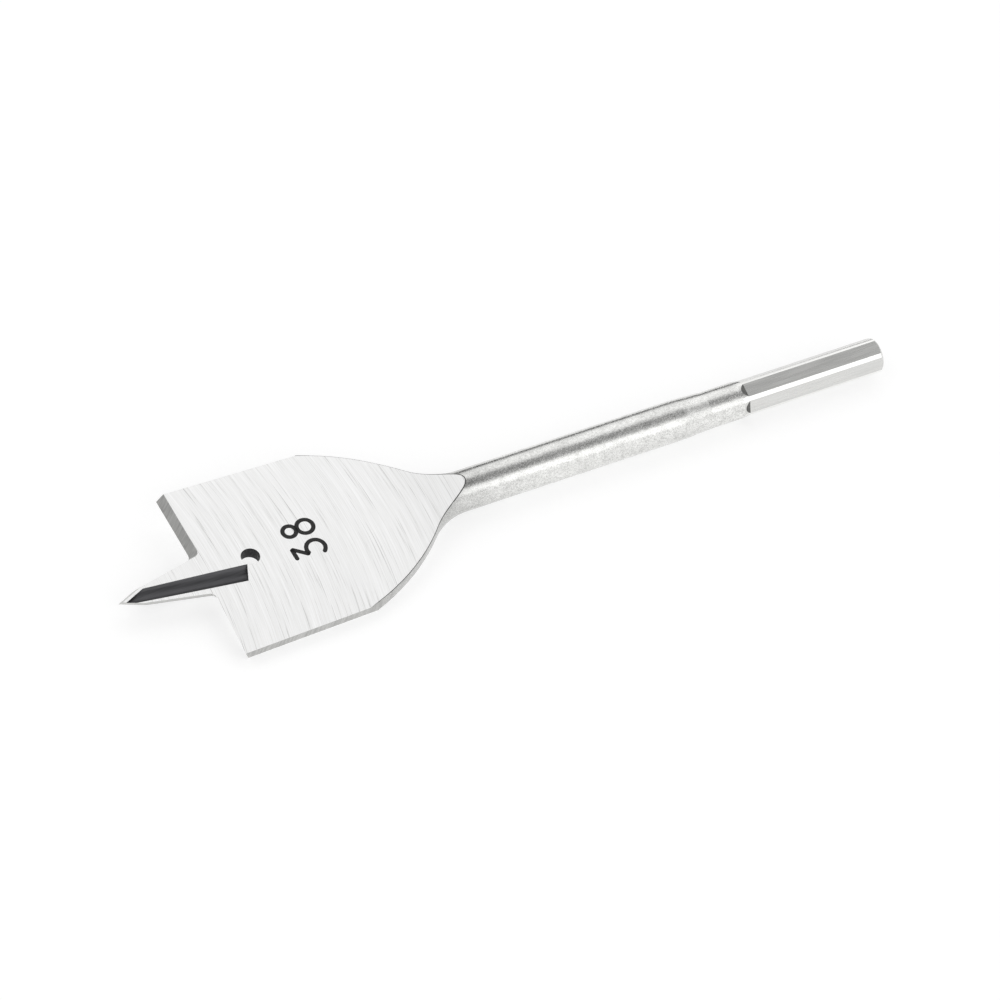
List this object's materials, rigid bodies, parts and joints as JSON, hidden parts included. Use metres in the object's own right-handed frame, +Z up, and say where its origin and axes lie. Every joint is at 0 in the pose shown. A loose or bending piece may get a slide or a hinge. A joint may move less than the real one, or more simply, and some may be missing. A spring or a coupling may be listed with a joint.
{
  "type": "spade drill bit",
  "caption": "Flat spade bit for boring wood: ground paddle blade with hollow-ground point, relieved lips and hanging hole, on a round shank ending in a hexagon.",
  "frame": {"origin": "on the table, under the middle of the bit, straight below its axis", "axes": "+X along the axis from the tip to the hexagon, +Z up from the table; the bit lies on its shank and on one lip corner, so the blade is rolled 7.87 degrees about X"},
  "size_m": [0.152, 0.038, 0.0076],
  "materials": {
    "ground_steel": "bright tool steel: blade faces ground across the axis, satin shank, smoother hexagon flats"
  },
  "bodies": {
    "root": {"spade_bit": "ground_steel"}
  },
  "joints": []
}
